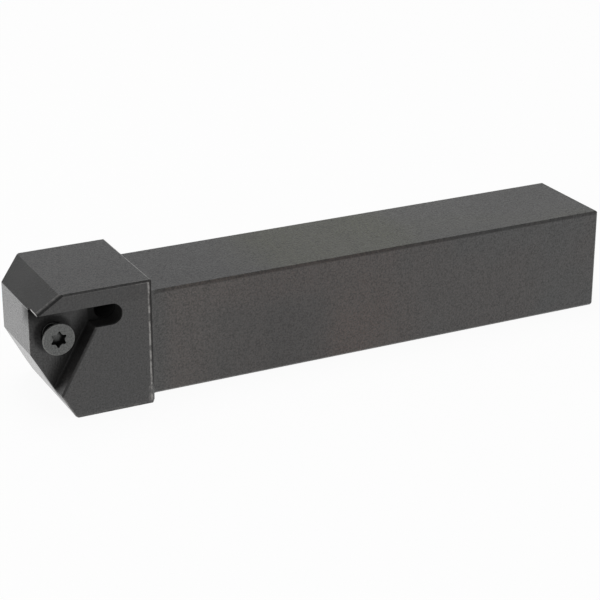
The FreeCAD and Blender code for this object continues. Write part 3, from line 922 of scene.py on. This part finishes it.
@dataclass
class ClampScrew:
    """The countersunk screw: six-lobe recess, head, cone and thread, as one turned surface.

    Sizes are in millimetres, measured along the axis from the head's face, with angles in degrees.

    Attributes:
        edge_angles: where the round of the head's edge has a row.
        cone_start: how far behind the rim the cone's second row lies.
        crest_start: the uncut height of the thread's middle, as a share of its depth.
        crest_slope: how fast that height falls with the share of a pitch.
        floor_rings: the rings of the recess's floor, as shares of its outline.
        floor_bow: how much the floor rises from its middle to its wall.
        wall_foot: how far above the deepest place the wall's first row lies.
        mouth_angles: where the round of the recess's mouth has a row.
        face_start: the first row of the head's face, as a share of the way to the edge.
        waist: how far the middle of a flank lies from the axis.
        sharp_angle: edges that turn by more than this stay sharp.
    """

    head_radius: float = 2.8
    head_rim: float = 0.35
    edge_round: float = 0.14
    edge_angles: tuple[float, ...] = (15.0, 35.0, 55.0, 75.0, 90.0)
    cone_angle: float = 60.0
    cone_start: float = 0.06
    cone_rows: int = 8
    length: float = 11.0
    tip_chamfer: float = 0.4
    neck: float = 0.35
    thread_radius: float = 1.75
    thread_depth: float = 0.368
    pitch: float = 0.6
    crest_start: float = 1.35
    crest_slope: float = 3.6
    rows_per_pitch: int = 12
    recess_depth: float = 1.4
    floor_rings: tuple[float, ...] = (0.08, 0.4, 0.7, 0.93)
    floor_bow: float = 0.08
    wall_foot: float = 0.14
    wall_rows: int = 7
    mouth_reach: float = 0.07
    mouth_depth: float = 0.1
    mouth_angles: tuple[float, ...] = (20.0, 45.0, 70.0, 90.0)
    face_start: float = 0.12
    face_rows: int = 8
    lobes: int = 6
    lobe_reach: float = 1.41
    lobe_radius: float = 0.24
    waist: float = 1.02
    recess_turn: float = 24.0
    columns: int = 180
    sharp_angle: float = 35.0
    finish: ScrewSteel = field(default_factory=ScrewSteel)

    def recess_outline(self, turn: np.ndarray) -> np.ndarray:
        """Return the recess's radius at each turn angle.

        A lobe is a small circle about a point on its own ray; a flank is a larger circle, outside the
        recess, about a point on the ray midway between two lobes and touching the lobe's circle. The
        radius is where the ray first crosses the lobe's far side or the flank's near side, whichever
        belongs to its sector. Angles are in radians and radii in millimetres.
        """
        half = math.pi / self.lobes
        offset = np.abs((turn + half) % (2 * half) - half)
        centre = self.lobe_reach - self.lobe_radius
        top = self.lobe_radius**2 - centre**2 - self.waist**2 + 2 * centre * self.waist * math.cos(half)
        flank = top / (2 * (self.waist - centre * math.cos(half) - self.lobe_radius))
        reach = self.waist + flank
        share = self.lobe_radius / (self.lobe_radius + flank)
        meet_angle = math.atan2(share * reach * math.sin(half),
                                centre + share * (reach * math.cos(half) - centre))
        lobe_root = np.maximum(self.lobe_radius**2 - (centre * np.sin(offset)) ** 2, 0.0)
        lobe = centre * np.cos(offset) + np.sqrt(lobe_root)
        away = half - offset
        flank_root = np.maximum(flank**2 - (reach * np.sin(away)) ** 2, 0.0)
        side = reach * np.cos(away) - np.sqrt(flank_root)
        return np.where(offset < meet_angle, lobe, side)

    def recess_rows(self, turn: np.ndarray) -> Rows:
        """Return the rows from the recess's floor to the edge of the head's face.

        The floor grows from a small ring to the outline, the wall is the outline at falling depth, and
        the mouth opens by a quarter round. The face then blends from the outline to a circle.

        Args:
            turn: the columns' angles round the axis, in radians.

        Returns:
            For each part, its radius as rows by columns and its depth as rows by 1, in millimetres.
        """
        outline = self.recess_outline(turn - math.radians(self.recess_turn))
        ring = np.array(self.floor_rings)[:, None]
        wall = np.linspace(self.recess_depth - self.wall_foot, self.mouth_depth, self.wall_rows)[:, None]
        angle = np.radians(self.mouth_angles)[:, None]
        lip, edge = outline + self.mouth_reach, self.head_radius - self.edge_round
        share = np.linspace(self.face_start, 1.0, self.face_rows)[:, None]
        return [
            (outline * ring, self.recess_depth - self.floor_bow * ring**2),
            (outline * np.ones_like(wall), wall),
            (outline + self.mouth_reach * (1 - np.cos(angle)), self.mouth_depth * (1 - np.sin(angle))),
            (lip + (edge - lip) * share, np.zeros_like(share)),
        ]

    def outer_rows(self, turn: np.ndarray) -> Rows:
        """Return the rows from the head's edge to the screw's tip.

        The edge is a quarter round, the cone is straight, and the thread's radius is its root plus a
        trapezoid of the distance along the axis plus the turn's share of the pitch, which makes it
        right-handed. The thread fades in behind a plain neck and is cut off by the tip's chamfer. The
        rows have the form that recess_rows gives them.
        """
        still = np.ones_like(turn)
        angle = np.radians(self.edge_angles)[:, None]
        edge = self.head_radius - self.edge_round + self.edge_round * np.sin(angle)
        root = self.thread_radius - self.thread_depth
        slope = math.tan(math.radians(self.cone_angle / 2))
        neck_start = self.head_rim + (self.head_radius - root) / slope
        behind = np.linspace(self.head_rim + self.cone_start, neck_start, self.cone_rows)
        cone = np.concatenate([[self.head_rim], behind])[:, None]
        count = int((self.length - neck_start) / self.pitch * self.rows_per_pitch)
        depth = np.linspace(neck_start, self.length, count + 1)[1:, None]
        phase = (depth / self.pitch + turn / (2 * math.pi)) % 1.0
        crest = np.clip(self.crest_start - self.crest_slope * np.abs(phase - 0.5), 0.0, 1.0)
        fade = np.clip((depth - neck_start - self.neck) / self.pitch, 0.0, 1.0)
        tip = self.thread_radius - np.maximum(depth - (self.length - self.tip_chamfer), 0.0)
        return [
            (still * edge, self.edge_round * (1 - np.cos(angle))),
            (still * (self.head_radius - (cone - self.head_rim) * slope), cone),
            (np.minimum(root + self.thread_depth * crest * fade, tip), depth),
        ]

    def build(self) -> bpy.types.Object:
        """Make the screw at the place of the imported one."""
        low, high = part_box("insert_screw")
        axis = ((low[0] + high[0]) / 2, low[1], (low[2] + high[2]) / 2)
        turn = np.linspace(0, 2 * math.pi, self.columns, endpoint=False)
        parts = self.recess_rows(turn) + self.outer_rows(turn)
        radius, depth = (np.concatenate(rows) * MM for rows in zip(*parts))
        places = np.stack([axis[0] + radius * np.cos(turn), np.broadcast_to(axis[1] + depth, radius.shape),
                           axis[2] + radius * np.sin(turn)], axis=-1)
        piece = surface_from_grid("clamp_screw", places)
        piece.data.shade_smooth()
        piece.data.set_sharp_from_angle(angle=math.radians(self.sharp_angle))
        piece.data.materials.append(self.finish.build(axis, self.head_radius * MM))
        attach(piece, "screw")
        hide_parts("insert_screw")
        return piece


@dataclass(frozen=True)
class Lamp:
    """A square soft lamp: its name, place, aim and width in metres, and its power in watts."""

    name: str
    place: Triple
    aim: Triple
    width: float
    power: float


class LampJob(Enum):
    """The studio's lamps by what each is for."""

    OVERHEAD = Lamp("overhead", (-0.10, 0.10, 0.75), (0.0, 0.0, 0.0), 0.60, 3.2)


@dataclass
class Studio:
    """The floor, the lamps, the world and the camera.

    The camera stands round from the holder's front by the azimuth and above its target by the elevation,
    in degrees. Its distance, its target, measured as HolderSizes.at does, and its sensor's width are in
    millimetres, its focal length and the picture's width in pixels, and the floor's size and the nearest
    distance that it sees in metres. The world's light fades from the horizon to the zenith.
    """

    floor_size: float = 6.0
    azimuth: float = -26.52
    elevation: float = 22.08
    distance: float = 333.9
    target: Triple = (49.67, 0.0, 12.33)
    focal_pixels: float = 1900.4
    image_pixels: float = 600.0
    sensor: float = 36.0
    near: float = 0.01
    fade: Ease = Ease(0.05, 0.68, 1.0, 0.25)

    def floor(self) -> None:
        """Lay the floor under the holder as one flat sheet."""
        half = self.floor_size / 2
        corners = [(-half, -half, 0), (half, -half, 0), (half, half, 0), (-half, half, 0)]
        mesh = bpy.data.meshes.new("studio_floor")
        mesh.from_pydata(corners, [], [(0, 1, 2, 3)])
        sheet = linked("studio_floor", mesh)
        sheet.data.materials.append(PaleFloor().build())

    def lamps(self) -> None:
        """Hang the soft lamps."""
        for job in LampJob:
            plan = job.value
            data = bpy.data.lights.new(plan.name, "AREA")
            data.shape = "SQUARE"
            data.size = plan.width
            data.energy = plan.power
            lamp = linked(plan.name, data)
            lamp.location = plan.place
            lamp.rotation_euler = (Vector(plan.aim) - Vector(plan.place)).to_track_quat("-Z", "Y").to_euler()
            lamp.visible_camera = False

    def world(self) -> None:
        """Light the room: white at the horizon, where it meets the floor, and greyer towards the top."""
        world = bpy.data.worlds.new("studio_world")
        bpy.context.scene.world = world
        world.use_nodes = True
        bench = Bench(world.node_tree)
        strength = bench.node("ShaderNodeTexCoord", output="Generated").along(UP).eased(self.fade)
        light = bench.node("ShaderNodeBackground", inputs={"Color": grey(1.0), "Strength": strength})
        bench.finish(light, "ShaderNodeOutputWorld")

    def camera(self, sizes: HolderSizes) -> None:
        """Stand the camera where the photograph was taken from."""
        data = bpy.data.cameras.new("camera")
        data.sensor_width = self.sensor
        data.lens = self.focal_pixels / self.image_pixels * self.sensor
        data.clip_start = self.near
        azimuth, elevation = math.radians(self.azimuth), math.radians(self.elevation)
        back = Vector((math.sin(azimuth) * math.cos(elevation), -math.cos(azimuth) * math.cos(elevation),
                       math.sin(elevation)))
        camera = linked("camera", data)
        camera.location = Vector(sizes.at(*self.target)) + back * self.distance * MM
        camera.rotation_euler = (-back).to_track_quat("-Z", "Y").to_euler()
        bpy.context.scene.camera = camera

    def build(self, sizes: HolderSizes) -> None:
        """Set the stage up."""
        bpy.context.scene.view_settings.view_transform = "Standard"
        self.floor()
        self.lamps()
        self.world()
        self.camera(sizes)


def main() -> None:
    """Load the frame, dress the holder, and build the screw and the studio."""
    logging.basicConfig(level=logging.INFO, format="%(name)s: %(message)s")
    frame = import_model()
    holder = HolderBody()
    holder.dress(frame["nodes"]["holder_body"])
    LOG.info("holder_body dressed with %d worn edges", len(PLANS[Wear.WORN_AND_HIGHLIGHT]))
    screw = ClampScrew().build()
    LOG.info("%s built with %d faces", screw.name, len(screw.data.polygons))
    Studio().build(holder.sizes)
    LOG.info("studio ready")


if __name__ == "__main__":
    main()
